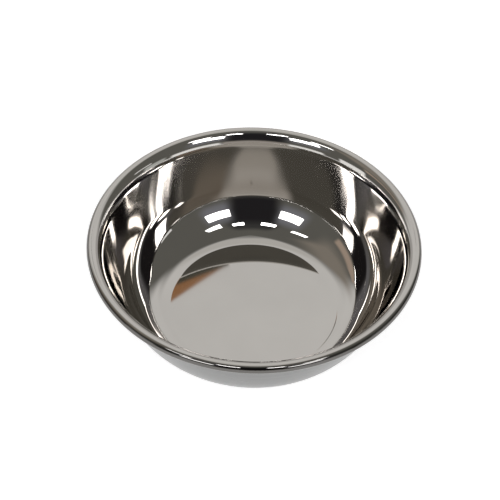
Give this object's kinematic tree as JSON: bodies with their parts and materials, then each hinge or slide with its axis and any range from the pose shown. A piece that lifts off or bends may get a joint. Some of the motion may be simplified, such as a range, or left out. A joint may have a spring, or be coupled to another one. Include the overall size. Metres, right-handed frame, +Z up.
{
  "type": "pet bowl",
  "caption": "Round one-piece polished stainless steel pet bowl with a flat floor, flared wall and rolled rim, for food or water.",
  "frame": {"origin": "under the middle of the floor, on the surface the bowl stands on", "axes": "+Z up along the bowl's axis, out of its mouth; X and Y are alike because the bowl is round"},
  "size_m": [0.165, 0.165, 0.0512],
  "materials": {
    "polished_steel": "stainless steel, mirror polished inside, satin on the rim and outside"
  },
  "bodies": {
    "root": {"bowl_shell": "polished_steel"}
  },
  "joints": []
}
